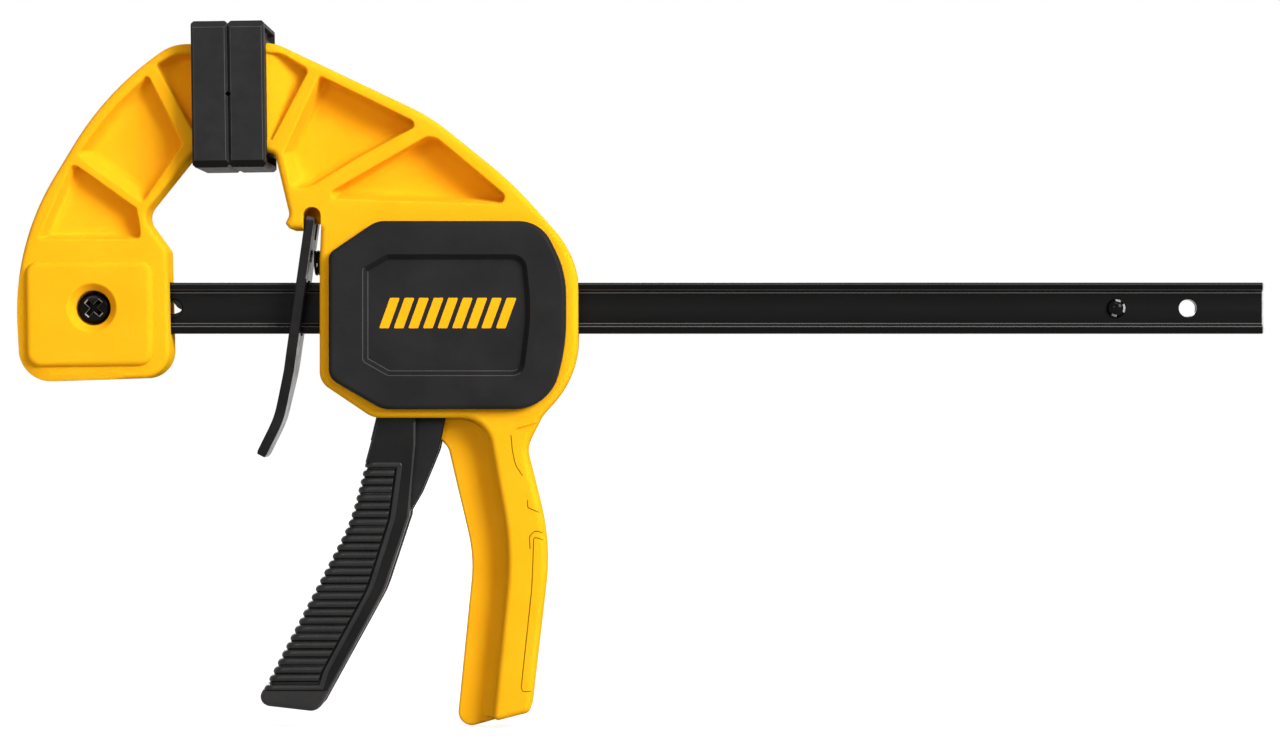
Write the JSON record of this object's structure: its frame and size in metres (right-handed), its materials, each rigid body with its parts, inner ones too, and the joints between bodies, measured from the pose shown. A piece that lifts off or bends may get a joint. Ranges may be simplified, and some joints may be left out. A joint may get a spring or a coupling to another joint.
{
  "type": "quick release bar clamp",
  "caption": "One-handed bar clamp: a fixed and a sliding jaw with soft pads on an I-section bar, with a pumping trigger and a release lever.",
  "frame": {"origin": "centre of the fixed pad's clamping face, over the bar", "axes": "+X along the bar from the fixed jaw towards its free end, +Y across the bar to the side of the cover screws, +Z from the bar towards the pads"},
  "size_m": [0.3881, 0.0366, 0.2186],
  "materials": {
    "yellow_nylon": "satin moulded, glass-filled",
    "black_nylon": "fine textured",
    "pad_rubber": "matt",
    "grip_rubber": "ribbed, matt",
    "bar_steel": "black, glossy",
    "black_steel": "black oxide, satin",
    "zinc_steel": "zinc plated",
    "spring_steel": "dark drawn wire"
  },
  "bodies": {
    "bar_assembly": {"bar": "bar_steel", "stop_rivet": "black_steel", "fixed_jaw": "yellow_nylon", "fixed_pad": "pad_rubber", "jaw_screw": "black_steel", "jaw_nut": "zinc_steel"},
    "moving_jaw": {"housing": "yellow_nylon", "front_cover": "black_nylon", "back_cover": "black_nylon", "cover_screws": "zinc_steel", "moving_pad": "pad_rubber", "trigger_pin": "zinc_steel", "drive_spring": "spring_steel", "release_spring": "spring_steel"},
    "trigger": {"trigger": "black_nylon", "trigger_grip": "grip_rubber"},
    "drive_plates": {"drive_plate_1": "zinc_steel", "drive_plate_2": "zinc_steel", "drive_plate_3": "zinc_steel"},
    "release_lever": {"release_lever": "black_steel"}
  },
  "joints": [
    {"name": "jaw_slide", "type": "slide", "parent": "bar_assembly", "child": "moving_jaw", "axis": [1, 0, 0], "range_m": [0, 0.163]},
    {"name": "trigger_pivot", "type": "hinge", "parent": "moving_jaw", "child": "trigger", "pos_m": [0.062, 0, -0.0513], "axis": [0, -1, 0], "range_deg": [0, 14], "stiffness_Nm_per_rad": 0.8, "springref_deg": -11.46, "deforming": ["drive_spring"]},
    {"name": "plates_slide", "type": "slide", "parent": "moving_jaw", "child": "drive_plates", "axis": [1, 0, 0], "range_m": [0, 0.0048]},
    {"name": "release_pivot", "type": "hinge", "parent": "moving_jaw", "child": "release_lever", "pos_m": [0.0249, 0, -0.0374], "axis": [0, -1, 0], "range_deg": [0, 6], "stiffness_Nm_per_rad": 0.2, "springref_deg": -11.46, "deforming": ["release_spring"]}
  ],
  "couplings": [
    {"joint": "plates_slide", "follows": "trigger_pivot", "m_per_rad": 0.0185}
  ]
}
